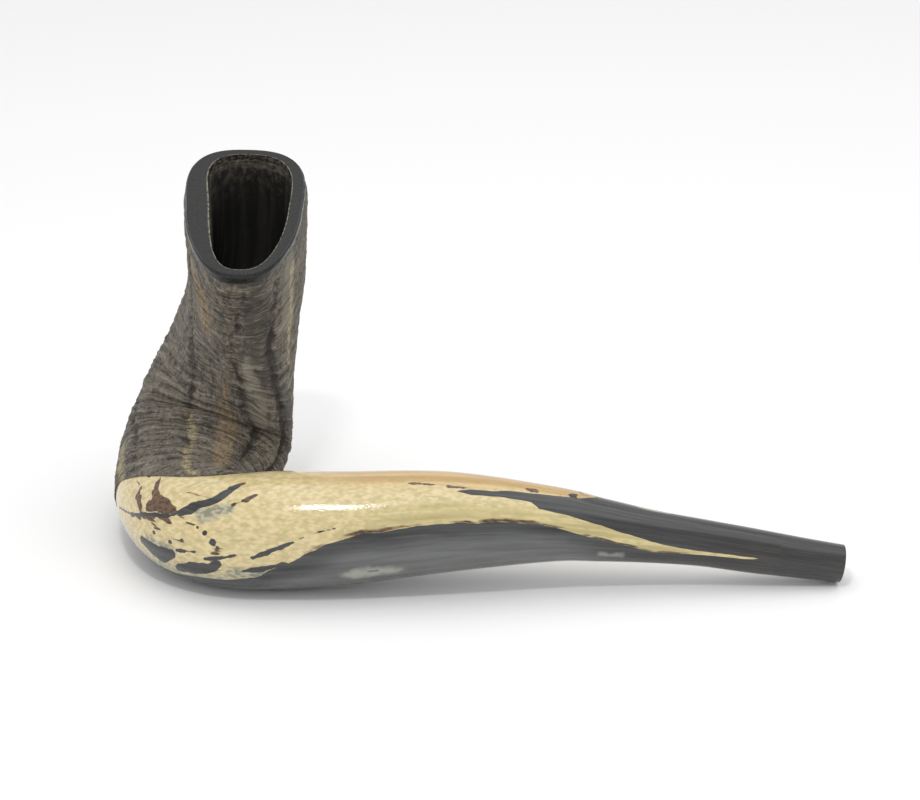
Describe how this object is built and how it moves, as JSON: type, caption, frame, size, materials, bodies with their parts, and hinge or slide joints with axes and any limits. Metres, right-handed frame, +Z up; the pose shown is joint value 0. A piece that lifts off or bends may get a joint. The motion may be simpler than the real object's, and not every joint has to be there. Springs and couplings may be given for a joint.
{
  "type": "shofar",
  "caption": "Ram's horn shofar: one curled horn with a wide oval bell, a rough natural stretch, a polished fold and arm, and a drilled, cupped mouth end.",
  "frame": {"origin": "centre of the bounding box, on the surface the horn stands on", "axes": "+X along the polished arm towards the mouth end, +Y away from that arm towards the bell's back, +Z up, out of the bell"},
  "size_m": [0.3326, 0.1656, 0.1698],
  "materials": {
    "bell_rim": "polished dark grey-green horn",
    "natural_horn": "rough natural horn, ridged and matt",
    "natural_curl": "rough natural horn, ridged and matt",
    "horn_bend": "polished cream horn with dark blotches",
    "horn_body": "polished ochre and cream horn over a dark band",
    "horn_neck": "polished dark horn with a cream streak",
    "mouthpiece": "polished black horn"
  },
  "bodies": {
    "root": {"bell_rim": "bell_rim", "natural_horn": "natural_horn", "natural_curl": "natural_curl", "horn_bend": "horn_bend", "horn_body": "horn_body", "horn_neck": "horn_neck", "mouthpiece": "mouthpiece"}
  },
  "joints": []
}
